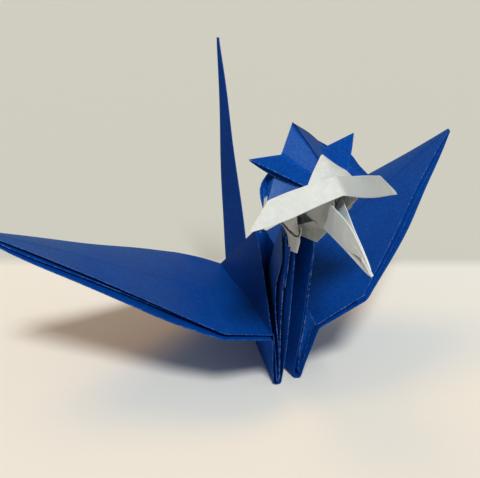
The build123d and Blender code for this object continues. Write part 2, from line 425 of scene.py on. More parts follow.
SHARES = (0, 1, 1.2, 1.4, 1.8, 2)   # stations along a wing: 0 the root, 1 the widest line, 2 the tip
left = half_of(-1, lean=17.5, sweep=-1.7, root_rise=15.8, tip_rise=23.7)
left.update(front=(18.7, 20.9, 16.6, 11.8, 3.2, 0.2), back=(19.0, 22.4, 17.6, 12.9, 4.0, 0.2),
            low=(19.8, 21.5, 18.3, 13.9, 4.9, 0.4), inner=(18.7, 19.4, 15.7, 11.3, 4.1, 0.3), edge_worn=0.8)
right = half_of(1, lean=10.0, sweep=7.7, root_rise=31.5, tip_rise=34.5)
right.update(front=(18.8, 21.7, 17.2, 12.7, 4.0, 0.2), back=(17.9, 20.1, 16.1, 12.2, 3.8, 0.2),
             low=(19.3, 22.3, 18.8, 14.9, 5.3, 0.3), inner=(19.0, 21.9, 18.1, 13.8, 4.7, 0.3),
             edge_worn=0.3)
tail_tip = at(1.0, 35.4, 68.9)
mean_lean = radians(13.75)          # halfway between the leans of the two halves
hump_rise = sqrt(hump_height**2 - (body_depth * sin(mean_lean)) ** 2)
apex = bottom + up * (body_depth * cos(mean_lean) + hump_rise)


def station(half, share, drop=0.0, crown=0.0, front="front"):
    """Front, middle and back points across a wing; front names the layer that gives the front reach.

    The points lie drop below the wing's upper layer, and the middle one crown above its neighbours.
    """
    if share <= 1:
        centre = between(half["middle"], half["widest"], share)
    else:
        centre = between(half["widest"], half["tip"], share - 1)
    centre = centre + half["under"] * drop
    front_reach, back_reach = (np.interp(share, SHARES, half[edge]) for edge in (front, "back"))
    return [centre - half["along"] * front_reach, centre - half["under"] * crown,
            centre + half["along"] * back_reach]


def across_apex(side):
    """Front, middle and back points of the hump's blunt top on one side."""
    top = apex + (at(-1.75, 0, -0.35) if side < 0 else at(0.5, 0, -0.1))
    return [top - at(0, 0.5, 0), top, top + at(0, 0.5, 0)]


def top_sheet():
    """The crane's upper side in one sheet: wing, hump and wing, from tip to tip."""
    rows = [station(left, 2), station(left, 1.8, crown=0.3), station(left, 1.4, crown=0.6),
            station(left, 1, crown=0.8), station(left, 0.45, crown=0.4), station(left, 0, crown=0.1),
            across_apex(-1), across_apex(1), station(right, 0, crown=0.1), station(right, 1, crown=0.5),
            station(right, 1.4, crown=0.5), station(right, 1.8, crown=0.3), station(right, 2)]
    rows[4][2] = rows[4][2] + left["along"] * 0.9
    steps = [8, 14, 12, 6, 6, 12, 2, 12, 10, 12, 14, 8]
    folds = [6.0, 6.0, 0.9, 3.0, 0.25, 1.0, 0.7, 0.25, 0.5, 6.0, 6.0]
    worn = [0.8, 0, 0, 0.05, 0, 0, 0.3, 0.2, 0, 0.05, 0, 0, 0.8]
    # Painted shade in the creases at the wing roots and widest lines, and along the wings' middle fold.
    crease_shades = [0, 0, 0, 0.12, 0, 0.5, 0, 0, 0.5, 0.12, 0, 0, 0]
    # Painted sheen towards the wing tips and on the wings' back halves, painted shade at the left wing's
    # root and hump.
    shade_and_sheen_marks = [0.18, 0.15, 0.06, -0.02, -0.12, -0.3, -0.2, 0, 0, 0, 0.02, 0.04, 0.06]
    paper("wings_and_hump", np.transpose(rows, (1, 0, 2)), wing_blue, steps=(14, steps),
          folds=(0.35, folds), worn=([0.75, 0, 0.55], worn), crease_shade=([0, 0.6, 0], crease_shades),
          shade_and_sheen=([0, 0, 0.08], shade_and_sheen_marks))


def lower_sheet(name, half, front, drops, leg):
    """Front or back half of a wing's lower layer, down the body's side, round its foot and up inside.

    drops are the gaps under the upper layer, one for each of SHARES; leg holds the points of the outer edge
    and of the middle line, from the body's side on.
    """
    outer, rows = (0, []) if front else (2, [])
    for share, drop in zip(reversed(SHARES), reversed(drops)):
        edge = station(half, share, drop, front="low")[outer]
        middle = station(half, share, 0.3 + 0.5 * (drop - 0.3))[1]
        step = half["along"] * (-CENTRE_GAP if front else CENTRE_GAP)
        rows.append([edge, middle + step * (0.3 if share == 2 else 1)])
    lines = np.transpose(rows + leg, (1, 0, 2))
    if not front:
        lines = lines[::-1]
    stations = lines.shape[1]
    steps = [8, 12, 6, 7, 10, 10] + [5, 5] + [8] * (stations - 9)
    folds = [5.0, 5.0, 4.0, 0.8, 0.5, 6.0, 1.0, 1.0] + [5.0] * (stations - 10)
    worn = [0.7, 0, 0, 0, 0, 0.12, 0, 0.1, 0.1] + [0] * (stations - 10) + [0.3]
    edge_worn = [half["edge_worn"], 0.1] if front else [0.1, 0.6]
    paper(name, lines, wing_blue, steps=(14, steps), folds=(0.3, folds), worn=(edge_worn, worn))


def inner_wing_layer(name, half, drops):
    """The narrow folded layer between a wing's upper and lower layers, along the front edge."""
    rows = []
    for share, drop in zip((0.85, 1.02, 1.4, 1.8, 1.95), drops):
        front, middle, _ = station(half, share, drop, front="inner")
        rows.append([front, between(front, middle, 0.75)])
    paper(name, np.transpose(rows, (1, 0, 2)), wing_blue, steps=(8, [3, 10, 14, 4]), folds=(0.3, 3.0),
          thick=PRESSED, worn=([half["edge_worn"], 0], [0.2, 0, 0, 0, 0.2]))


def hump_inside(name, sign, centre_top, centre_low):
    """Inner facets under the hump, from the ridge of one side over the middle to the ridge of the other."""
    edge = 0 if sign < 0 else 2
    left_ridge = [across_apex(-1)[edge], station(left, 0)[edge]]
    right_ridge = [across_apex(1)[edge], station(right, 0)[edge]]
    lines = [left_ridge, [centre_top, centre_low], right_ridge]
    if sign > 0:
        lines = lines[::-1]
    # Painted shade, deepening down the inner facets towards the body.
    paper(name, lines, wing_blue, steps=(12, 16), folds=(0.5, 0.3), worn=([0.6, 0, 0.3], [0.2, 0.2]),
          shade_and_sheen=(None, [0, -0.3, -0.65, -0.75, -0.75, -0.75]))


# The neck, the layers round its foot, and the tail

def front_leg(side):
    """Outer edge and middle line of a front leg: down the body's side, round the foot, up in the neck."""
    middle = side * CENTRE_GAP
    if side < 0:
        return [[(-3.55, -16.2, 4.0), (-1.7, 0, 4.0)], [(-3.35, -16.4, 0.3), (-1.1, 0, 0.3)],
                [(-1.75, -16.6, 0.3), (middle, -0.4, 0.3)], [(-1.85, -17.9, 5.0), (middle, -1.3, 4.8)],
                [(-1.95, -19.4, 12.0), (middle, -2.8, 11.6)], [(-1.95, -20.8, 24.0), (middle, -5.8, 24.0)],
                [(-2.0, -21.5, 33.9), (middle, -7.2, 29.0)], [(-2.3, -18.6, 37.6), (middle, -11.6, 37.5)],
                [(-1.9, -15.6, 41.5), (middle, -16.6, 46.0)]]
    return [[(3.6, -17.6, 5.6), (0.9, 0, 4.0)], [(3.25, -16.0, 0.3), (0.35, 0, 0.3)],
            [(1.85, -15.5, 0.3), (middle, -0.4, 0.3)], [(2.25, -15.6, 5.6), (middle, -1.4, 5.0)],
            [(2.3, -17.3, 12.8), (middle, -3.0, 12.0)], [(2.3, -18.7, 22.5), (middle, -5.6, 23.0)],
            [(2.3, -20.9, 34.2), (middle, -7.2, 29.0)], [(2.6, -18.4, 38.0), (middle, -11.6, 37.5)],
            [(2.2, -16.6, 42.0), (middle, -16.6, 46.0)]]


def back_leg(side):
    """Outer edge and middle line of a back leg: down the body's side, round the foot, a lip by the tail."""
    middle = side * CENTRE_GAP
    return [[(side * 3.3, 16.1, 4.2), (side * 1.1, 0, 4.0)],
            [(side * 2.95, 15.7, 0.35), (side * 0.35, 0, 0.3)],
            [(side * 2.35, 15.5, 0.35), (middle, 0.4, 0.3)], [(side * 2.3, 16.4, 5.0), (middle, 2.9, 5.0)]]


def neck_cover():
    """The layer outside the neck's two sides: left front edge, back fold and right front edge, going up."""
    left_edge = [(-2.35, -17.2, 2.4), (-2.4, -17.0, 8.0), (-2.4, -16.9, 15.0), (-2.4, -17.3, 24.0),
                 (-2.35, -18.6, 32.5), (-2.4, -16.8, 39.4)]
    spine = [(0, -0.2, 2.0), (0, -1.4, 8.0), (0, -3.2, 15.0), (0, -5.7, 24.0), (0, -6.9, 29.2),
             (-0.4, -16.4, 45.0)]
    right_edge = [(2.7, -15.8, 2.6), (2.75, -16.1, 8.2), (2.8, -17.4, 13.0), (2.8, -18.9, 24.0),
                  (2.75, -20.3, 34.4), (2.9, -17.2, 40.2)]
    # Painted shade, deeper towards the back fold and the right edge.
    paper("neck_cover", [left_edge, spine, right_edge], wing_blue, steps=(14, 10), folds=(0.6, 4.0),
          worn=([4.0, 0.2, 2.2], None), shade_and_sheen=([0, -0.2, -0.3], None))


def neck_wrap(name, side, edge, centre):
    """The outer layer of the neck's foot, a folded strip that comes down the hump, turns and goes up."""
    lines = [edge, centre] if side < 0 else [centre, edge]
    front, back = (1.0, 0) if side < 0 else (0, 0.6)
    steps = [8, 4, 3, 5, 6, 6, 7, 8, 6]
    folds = [2.0, 0.35, 0.35, 3.0, 3.0, 3.0, 1.2, 1.0]
    # Painted shade along one fold near the top, and painted sheen on the strip's upper end.
    paper(name, lines, wing_blue, steps=(12, steps), folds=(0.3, folds),
          worn=([front, back], [0] * 9 + [0.5]), crease_shade=(None, [0] * 7 + [0.2, 0, 0]),
          shade_and_sheen=(None, [0, 0, 0, 0, 0, 0, 0, 0.02, 0.14, 0.12]))


def neck():
    """Both wraps, the cover, the top under the helmet, a gusset and the pointed flap on the neck's left."""
    neck_cover()
    left_edge = [(-4.15, -17.3, 13.6), (-3.35, -17.6, 5.6), (-3.0, -17.2, 1.5), (-2.65, -17.4, 1.5),
                 (-2.85, -18.0, 6.4), (-2.95, -17.2, 11.6), (-2.8, -14.7, 17.3), (-2.75, -14.3, 23.7),
                 (-2.75, -17.1, 30.6), (-2.65, -15.7, 36.6)]
    left_centre = [(-3.6, -0.6, 13.2), (-1.1, -0.6, 4.4), (-0.6, -0.6, 1.4), (-0.5, -0.8, 1.4),
                   (-0.5, -1.2, 5.6), (-0.6, -2.4, 11.6), (-0.6, -3.8, 18.0), (-0.7, -5.9, 24.6),
                   (-0.9, -8.6, 29.8), (-2.6, -14.9, 36.5)]
    neck_wrap("left_neck_wrap", -1, left_edge, left_centre)
    right_edge = [(4.6, -17.5, 14.0), (3.65, -17.3, 7.8), (3.3, -15.9, 1.7), (2.95, -15.8, 1.7),
                  (3.1, -15.9, 6.4), (3.2, -16.0, 11.6), (3.1, -14.9, 17.3), (3.05, -14.4, 23.7),
                  (3.05, -17.1, 30.6), (2.85, -15.7, 36.4)]
    right_centre = [(2.4, -0.6, 13.6), (1.0, -0.6, 4.4), (0.6, -0.6, 1.4), (0.5, -0.8, 1.4),
                    (0.5, -1.2, 5.6), (0.6, -2.4, 11.6), (0.6, -3.8, 18.0), (0.7, -5.9, 24.6),
                    (0.9, -8.6, 29.8), (2.8, -14.9, 36.3)]
    neck_wrap("right_neck_wrap", 1, right_edge, right_centre)
    paper("neck_top",
          [[(-2.3, -16.9, 39.9), (-0.7, -21.6, 43.2)], [(-0.4, -16.4, 45.0), (-0.1, -22.8, 45.3)],
           [(2.7, -17.2, 40.4), (2.2, -22.4, 43.2)]],
          wing_blue, steps=(10, 8), folds=(0.6, 0.3))
    paper("right_leg_gusset",
          [[(2.8, -18.2, 19.3), (5.0, -18.6, 14.9)], [(2.7, -16.8, 12.8), (5.0, -17.0, 12.7)],
           [(2.7, -16.0, 7.0), (4.3, -16.2, 6.8)]],
          wing_blue, steps=(8, 4), folds=(2.0, 0.3))
    paper("neck_flap",
          [[(-2.6, -18.2, 34.6), (-2.65, -18.4, 31.0), (-2.65, -18.3, 28.3), (-2.65, -18.7, 25.3)],
           [(-2.5, -20.4, 35.0), (-2.55, -19.9, 31.2), (-2.55, -19.6, 28.8), (-2.6, -18.8, 25.1)]],
          wing_blue, steps=(5, 6), thick=GATHERED, folds=(0.3, 3.0), worn=([2.0, 2.5], [0, 0, 0, 2.0]))


def tail():
    """Two nested folded strips, open to the back, that narrow to the tail's point."""
    ridge_foot = bottom + at(0, 0, 0.9)
    for name, inward, base in (("tail_outer", 0.0, 0.9), ("tail_inner", 0.5, 2.2)):
        shift = at(0, inward, -0.2 * inward)
        left_edge = [at(-2.2 + 0.4 * inward, 15.6, base), at(-2.2 + 0.4 * inward, 20.8, 17.0),
                     at(-1.1 + 0.4 * inward, 26.9, 38.0), tail_tip - at(0.25, 0, 2.0 * inward)]
        ridge = [ridge_foot + at(0, inward, base), at(0.25, 8.7, 17.0) + shift, at(0.5, 19.4, 38.0) + shift,
                 tail_tip - at(0, 0.45 - 0.5 * inward, 2.0 * inward)]
        right_edge = [at(2.2 - 0.4 * inward, 15.6, base), at(2.3 - 0.4 * inward, 20.8, 17.0),
                      at(1.9 - 0.4 * inward, 26.9, 38.0), tail_tip + at(0.25, 0, -2.0 * inward)]
        # Painted shade, deeper towards the tail's point.
        paper(name, [right_edge, ridge, left_edge], wing_blue, steps=(12, [10, 12, 16]), folds=(0.5, 6.0),
              worn=([0.6, 0.25, 0.6], [0, 0, 0, 0.8]), shade_and_sheen=(None, [0, -0.1, -0.25, -0.3]))


# The helmet

turn, pitch = radians(helmet_turn), radians(helmet_pitch)
across_brim = at(cos(turn), sin(turn), 0)
peakward = at(-sin(turn) * cos(pitch), cos(turn) * cos(pitch), sin(pitch))
frontward = np.cross(across_brim, peakward)


def helm(side, run, rise, lift):
    """A point of one half of the helmet's front: out along the brim, up to the peak, and off the face."""
    fold = radians(brim_fold)
    arm = across_brim * (side * cos(fold)) - frontward * sin(fold)
    normal = frontward * cos(fold) + across_brim * (side * sin(fold))
    return brim_middle + arm * run + peakward * rise + normal * lift


def helm_line(side, *points):
    """Several points of one half of the helmet's front, each given by its run, rise and lift."""
    return [helm(side, *point) for point in points]


nape = at(-0.1, -22.6, 44.4)


def helmet_shell():
    """The cap under the flaps: its front, and its bulging back that shows past the front's edges."""
    front = [helm_line(1, (0.3, 17.2, -0.35), (9.0, 8.2, -0.35), (12.4, 4.2, -0.2), (16.2, 0.5, 0.1)),
             helm_line(1, (0.1, 17.2, -0.35), (4.5, 7.2, -0.35), (6.1, 3.6, -0.2), (9.0, 0.4, -0.2)),
             helm_line(1, (0.0, 17.2, -0.35), (0, 7.0, -0.4), (0, 3.4, -0.3), (0, 0.2, 0.0)),
             helm_line(-1, (0.1, 17.2, -0.35), (4.5, 7.2, -0.35), (6.1, 3.6, -0.2), (9.0, 0.0, 0.1)),
             helm_line(-1, (0.3, 17.2, -0.35), (9.0, 8.2, -0.35), (12.2, 4.4, -0.2), (17.4, 0.1, 0.25))]
    # Painted sheen on the front's left part.
    paper("helmet_front", front, helmet_blue, steps=(8, 10), folds=([3.0, 0.8, 3.0], 2.0), thick=PRESSED,
          worn=([0.5, 0, 0, 0, 0.5], [0, 0, 0, 0.2]), shade_and_sheen=([0, 0, 0, 0.25, 0.4], None), lining=white_side)
    back_left = helm_line(-1, (0.2, 17.3, -0.8), (4.6, 12.4, -1.2), (9.2, 10.0, -1.2), (11.2, 8.7, -1.4),
                          (12.2, 7.4, -1.6), (12.8, 6.0, -1.4), (13.5, 3.7, -0.8))
    back_right = helm_line(1, (0.2, 17.4, -0.6), (8.2, 12.6, -0.8), (12.8, 11.1, -0.6), (13.4, 10.0, -0.8),
                           (13.3, 8.8, -0.8), (13.9, 7.2, -0.8), (14.6, 4.2, -0.6))
    shares = (0.0, 0.22, 0.4, 0.56, 0.72, 0.86, 1.0)
    centre = [between(helm(1, 0, 17.4, -0.8), nape, share) for share in shares]

    def bulged(edge):
        """The line halfway between an edge and the centre, pushed out to the back by a half sine."""
        return [between(e, c, 0.5) - frontward * 2.4 * sin(pi * min(1, share + 0.15))
                for e, c, share in zip(edge, centre, shares)]

    lines = [back_left, bulged(back_left), centre, bulged(back_right), back_right]
    # Painted shade on the back's right part.
    paper("helmet_back", lines, helmet_blue, steps=(8, 7), folds=([5.0, 1.0, 5.0], 2.5), thick=PRESSED,
          worn=([0.6, 0, 0.2, 0, 0.6], [0.4, 0, 0, 0, 0, 0, 0.4]), shade_and_sheen=([0, 0, 0, -0.1, -0.3], None))


def side_folds():
    """The gathered folds between the helmet's front and back, at its left end."""
    paper("left_gather", [helm_line(-1, (9.4, 8.0, -0.3), (10.4, 6.8, -0.3), (12.4, 4.7, 0.0)),
                          helm_line(-1, (10.2, 8.2, -1.6), (11.2, 6.8, -1.4), (12.9, 4.4, -0.5))],
          helmet_blue, steps=(4, 7), thick=GATHERED, folds=(0.15, 1.5), worn=([0.6, 0.2], None))
    paper("left_fold_under", [helm_line(-1, (11.6, 7.2, -1.3), (12.3, 5.9, -1.0), (13.3, 3.9, -0.4)),
                              helm_line(-1, (11.2, 6.4, -1.2), (12.0, 5.0, -0.9), (13.2, 3.6, -0.3))],
          helmet_blue, steps=(3, 7), thick=GATHERED, worn=([0.6, 0.6], None))
    # The corner lining is darkened with painted shade.
    paper("left_corner_lining", [helm_line(-1, (12.3, 4.9, 0.25), (13.1, 3.5, 0.4)),
                                 helm_line(-1, (12.8, 4.8, -0.1), (13.7, 3.2, 0.1))],
          white_side, steps=(3, 4), thick=0.12, shade_and_sheen=([0.5, 0.25], None))


def flap_and_horn(side, label, lines, under_edge, shade_and_sheen):
    """A front flap with the horn folded out of it, and the horn's under layer, joined along its upper edge.

    Lines run from the middle slit over the horn's crease to its open edge, each from its upper to its lower
    end. The slit's line is left out where the flap is a sheet of its own.
    """
    low = [[p - frontward * 0.15 for p in lines[-2]], under_edge]
    worn, low_worn = [0.0] * (len(lines) - 1) + [0.6], [0.2, 0.6]
    if side > 0:
        lines, low, worn, low_worn, shade_and_sheen = (line[::-1] for line in (lines, low, worn, low_worn, shade_and_sheen))
    paper(label + "_flap_and_horn", lines, helmet_blue, steps=(12, 8), folds=(0.3, 3.0), thick=PRESSED,
          worn=(worn, [0.4, 0, 0, 0.1]), shade_and_sheen=(shade_and_sheen, None))
    # Painted shade along both lines of the horn's under layer.
    paper(label + "_horn_underside", low, helmet_blue, steps=(8, 8), folds=(0.3, 3.0), thick=NARROW,
          worn=(low_worn, [0.6, 0, 0, 0.1]), crease_shade=([0.3, 0.3], None))


def flaps():
    """Left and right flap, each with its horn."""
    # Painted shadow along the middle slit, painted sheen on the flap's facet and painted shade on the horn.
    flap_and_horn(-1, "left",
                  [helm_line(-1, (0.2, 17.6, 0.3), (0.2, 12.5, 0.7), (0.2, 8.4, 0.6), (0.6, 3.6, 0.3)),
                   helm_line(-1, (5.8, 11.8, 0.2), (4.7, 9.2, 0.25), (3.1, 5.9, 0.25), (1.9, 3.4, 0.2)),
                   helm_line(-1, (12.3, 12.1, 1.6), (9.6, 8.6, 1.6), (7.0, 5.6, 1.1), (4.9, 3.6, 0.4))],
                  helm_line(-1, (12.2, 12.0, 1.35), (10.1, 9.3, 0.2), (7.2, 5.8, 0.0), (5.2, 3.6, -0.1)),
                  [-0.9] + [0.12] * 9 + [0] + [-0.15] * 10)
    crease = helm_line(1, (6.4, 12.9, -0.9), (4.9, 10.2, -0.6), (3.7, 8.0, -0.3), (2.2, 5.0, 0.0))
    # Painted shadow along the middle slit, and a painted brighter blue towards the crease and the lower
    # end.
    paper("right_flap",
          [crease, helm_line(1, (2.9, 15.5, 0.0), (2.4, 11.4, -0.2), (1.9, 8.0, -0.1), (1.2, 4.0, 0.0)),
           helm_line(1, (0.1, 17.4, 0.0), (-0.1, 12.5, -0.1), (-0.1, 8.0, -0.1), (0.2, 3.6, 0.0))],
          shaded_helmet_blue, steps=(12, 8), folds=(2.0, 3.0), thick=PRESSED, worn=([0, 0, 0], [0.4, 0, 0, 0]),
          shade_and_sheen=([0.3] + [0] * 9 + [-0.8], [0, 0.3, 0.7, 0.7]))
    open_edge = helm_line(1, (11.7, 13.3, 3.0), (9.0, 9.7, 1.9), (6.5, 6.8, 0.9), (4.2, 4.4, 0.3))
    # A light painted shade on the right horn.
    flap_and_horn(1, "right", [crease, open_edge],
                  helm_line(1, (11.7, 13.2, 2.85), (9.2, 9.7, 1.3), (6.7, 6.8, 0.3), (4.4, 4.2, -0.1)),
                  [-0.1, -0.1])


def brim():
    """The white band round the brim, with the lip folded up inside it, and the badge folded up in front."""
    top = helm_line(-1, (17.4, 0.35, 0.5), (12.6, 3.9, 0.5), (8.9, 4.05, 0.55), (4.9, 3.95, 0.6))
    top += helm_line(1, (0, 4.0, 0.7), (4.7, 3.7, 1.4), (6.8, 2.9, 2.7), (11.2, 2.9, 2.8), (16.4, 0.7, 1.0))
    low = helm_line(-1, (17.9, -0.25, 0.45), (15.0, -0.75, 0.5), (9.9, -0.85, 0.5), (5.2, -0.5, 0.5))
    low += helm_line(1, (0, -0.25, 0.5), (4.9, -0.4, 0.3), (11.2, 0.1, -0.2), (15.9, 0.35, 0.1),
                     (16.9, 0.1, 0.7))
    shifts = [(0.2, 0.15)] + [(1.7, 0.9)] * (len(low) - 2) + [(0.2, 0.15)]
    lip = [point + peakward * rise - frontward * inward for point, (rise, inward) in zip(low, shifts)]
    steps = [8, 8, 8, 9, 9, 8, 8, 6]
    # Painted shade on the band's right half and along its middle crease.
    paper("brim_band", [top, low, lip], white_side, steps=([8, 5], steps), thick=SINGLE * 1.6,
          folds=([0.35], [0.4, 2.0, 2.0, 0.25, 2.0, 2.0, 0.4]),
          worn=([0.2, 0.3, 0], [0.4] + [0] * 7 + [0.4]), crease_shade=(None, [0] * 4 + [0.25] + [0] * 4),
          shade_and_sheen=(None, [0] * 17 + [0.27, 0.31, 0.34] + [0.34] * 10 + [0.26] * 3))
    left_edge = helm_line(-1, (5.05, 3.7, 0.5), (3.3, 5.45, 0.9), (1.55, 6.95, 1.1), (-0.3, 8.5, 1.3))
    crease = helm_line(1, (0, 3.8, 0.6), (-0.95, 4.8, 1.35), (-0.8, 6.6, 1.7), (0.05, 8.6, 1.3))
    right_edge = helm_line(1, (4.9, 3.6, 1.25), (4.9, 5.5, 0.95), (3.0, 6.65, 0.9), (0.4, 8.65, 1.15))
    # Painted shade on the badge's right facet and along its crease.
    paper("badge", [left_edge, crease, right_edge], white_side, steps=(8, 7), thick=SINGLE * 1.2,
          folds=(0.3, 1.5), worn=([0.2, 0.1, 0.2], None), crease_shade=([0, 0.15, 0], None),
          shade_and_sheen=([0, 0.03, 0.28], None))


# The head and the beak

def head():
    """White facets under the brim: the face round its dark slot, the cheek and the scraps at the throat."""
    # Painted shade all over the lower face, as under the brim, and painted shade in its creases.
    paper("face_low", [[(-0.8, -18.8, 38.5), (-0.1, -21.2, 39.7), (0.6, -23.6, 40.9), (1.2, -26.4, 40.3)],
                       [(-0.2, -18.9, 37.4), (0.6, -21.1, 38.1), (1.4, -23.2, 38.9), (1.4, -26.8, 40.0)],
                       [(0.4, -18.7, 36.1), (1.2, -20.7, 36.1), (2.0, -22.5, 36.0), (1.5, -27.1, 39.7)]],
          white_side, steps=(6, 7), folds=(0.3, 0.3), thick=SINGLE * 1.6,
          crease_shade=([0, 0.2, 0], [0, 0, 0.2, 0]), worn=([0, 0, 0.2], None), shade_and_sheen=([0.47, 0.54, 0.47], None))
    # Painted shade all over the upper face, deeper towards the beak.
    paper("face_high", [[(0.1, -19.7, 41.6), (0.1, -23.5, 43.8), (0.1, -27.4, 46.0), (0.2, -31.2, 48.2)],
                        [(0.4, -21.0, 41.2), (0.5, -24.5, 43.0), (0.5, -28.0, 44.9), (0.4, -31.3, 46.2)],
                        [(0.8, -23.3, 40.7), (0.8, -25.8, 41.6), (0.6, -29.2, 43.2), (0.5, -32.6, 44.7)],
                        [(1.1, -26.4, 40.3), (1.0, -27.6, 40.6), (1.0, -29.0, 41.0), (0.9, -31.1, 41.9)]],
          white_side, steps=(5, 6), folds=(1.2, 1.2), thick=SINGLE * 1.4, worn=([0] * 4, [0] * 4),
          shade_and_sheen=([0.35, 0.26, 0.28, 0.3], [0.08, 0.12, 0.2, 0.24]))
    # A white sheet inside the slot, darkened with painted shade.
    paper("slot_lining", [[(0.3, -14.6, 40.8), (0.7, -18.4, 42.2), (1.0, -24.1, 44.3)],
                          [(0.5, -14.4, 38.3), (0.9, -18.2, 40.0), (1.1, -23.8, 42.0)],
                          [(0.7, -14.2, 35.6), (1.0, -18.2, 37.1), (1.5, -23.7, 39.1)]],
          white_side, steps=(5, 6), thick=SINGLE, shade_and_sheen=([0.62, 0.62], None))
    paper("head_right", [[(1.5, -18.4, 43.2), (2.7, -21.2, 44.3), (3.3, -26.0, 46.2)],
                         [(2.9, -18.4, 40.0), (3.0, -21.5, 40.8), (3.0, -26.5, 43.0)],
                         [(2.8, -19.4, 37.3), (2.8, -21.8, 37.6), (2.4, -26.3, 40.6)]],
          white_side, steps=(6, 7), folds=(3.0, 3.0), thick=SINGLE * 1.4)
    # Painted shade on the inside under the brim.
    paper("brim_inside", [[(3.2, -22.9, 45.2), (4.0, -25.3, 46.5), (5.2, -26.8, 47.4)],
                          [(3.4, -24.4, 43.7), (4.2, -26.0, 44.3), (5.2, -27.1, 45.0)],
                          [(3.4, -26.2, 42.3), (4.0, -27.7, 43.0), (5.0, -28.4, 43.5)]],
          white_side, steps=(5, 5), folds=(1.0, 1.0), thick=SINGLE, shade_and_sheen=([0.8, 0.8], None))
    # Painted shade on the cheek.
    paper("cheek", [[(4.6, -24.2, 46.1), (5.6, -26.1, 46.6), (6.6, -28.7, 46.6)],
                    [(4.8, -25.5, 45.3), (5.6, -26.7, 45.5), (6.4, -28.3, 45.8)],
                    [(5.2, -26.8, 44.3), (5.4, -27.2, 44.3), (6.2, -27.8, 45.2)]],
          white_side, steps=(5, 5), folds=(0.8, 0.8), thick=SINGLE * 1.4, worn=([0, 0, 0.6], [0, 0, 0.6]),
          shade_and_sheen=([0.4, 0.4], None))
    # Painted shade on the lower cheek.
    paper("cheek_low", [[(5.6, -26.8, 44.4), (6.6, -26.8, 44.8)], [(5.4, -27.2, 43.6), (6.4, -27.2, 44.4)]],
          white_side, steps=(4, 5), thick=SINGLE * 1.4, shade_and_sheen=([0.4, 0.4], None))
    # Painted shade, darker on the tab's left.
    paper("throat_tab", [[(-4.3, -18.7, 39.4), (-3.7, -19.5, 38.6), (-3.0, -19.5, 37.3),
                          (-2.8, -19.6, 36.2), (-2.6, -19.6, 35.0), (-2.5, -19.4, 33.9)],
                         [(-4.0, -18.8, 39.1), (-3.3, -20.1, 38.1), (-2.7, -21.0, 37.2),
                          (-2.5, -21.5, 36.6), (-2.4, -21.4, 35.2), (-2.4, -21.0, 34.0)],
                         [(-3.7, -18.8, 38.8), (-2.9, -20.4, 37.7), (-2.4, -21.7, 37.2),
                          (-2.0, -23.4, 37.7), (-2.1, -23.3, 36.3), (-2.1, -22.5, 34.2)]],
          white_side, steps=(6, 5), folds=(1.2, [1.0, 1.0, 0.6, 1.0]), thick=SINGLE * 1.3,
          worn=([0.3, 0, 0.3], [0.3] + [0] * 5), shade_and_sheen=([0.45, 0.3, 0.02], None))
    # A light painted shade on the rim.
    paper("throat_rim", [[(-2.2, -22.1, 37.0), (-2.0, -23.0, 37.5), (-1.8, -23.2, 38.1),
                          (-1.6, -22.9, 38.6), (-1.4, -22.3, 39.3)],
                         [(-2.2, -21.7, 37.1), (-2.0, -22.6, 37.5), (-1.8, -22.7, 38.0),
                          (-1.5, -22.4, 38.5), (-1.4, -21.7, 39.1)]],
          white_side, steps=(3, 5), folds=(0.2, 0.6), thick=SINGLE, worn=([0.2, 0.2], None),
          shade_and_sheen=([0.15, 0.15], None))
    # A sheet behind the gap at the throat, darkened with painted shade so that the gap looks dark.
    paper("throat_shadow_sheet", [[(-3.7, -18.5, 39.2), (-3.0, -19.9, 38.3), (-2.3, -21.1, 37.5),
                             (-1.8, -22.0, 37.3), (-1.5, -22.5, 37.9), (-1.3, -22.1, 38.7)],
                            [(-3.5, -18.9, 39.8), (-2.7, -20.5, 39.2), (-2.0, -21.6, 38.5),
                             (-1.7, -21.6, 38.4), (-1.5, -21.5, 38.7), (-1.3, -21.1, 39.1)]],
          white_side, steps=(4, 5), folds=(0.3, 1.0), thick=SINGLE, shade_and_sheen=([0.85, 0.85], None))
    # Painted shade on the throat flap.
    paper("throat_flap", [[(-4.4, -19.5, 40.2), (-3.5, -21.1, 39.1), (-2.4, -22.7, 38.0)],
                          [(-3.4, -20.7, 41.5), (-2.7, -21.4, 40.0), (-2.2, -22.5, 38.1)],
                          [(-2.2, -21.4, 42.3), (-2.0, -21.4, 40.1), (-2.0, -22.5, 38.1)]],
          white_side, steps=(5, 6), folds=(1.0, 1.5), thick=SINGLE * 1.6, worn=([0.6, 0, 0.3], None),
          shade_and_sheen=([0.12, 0.18, 0.25], None))


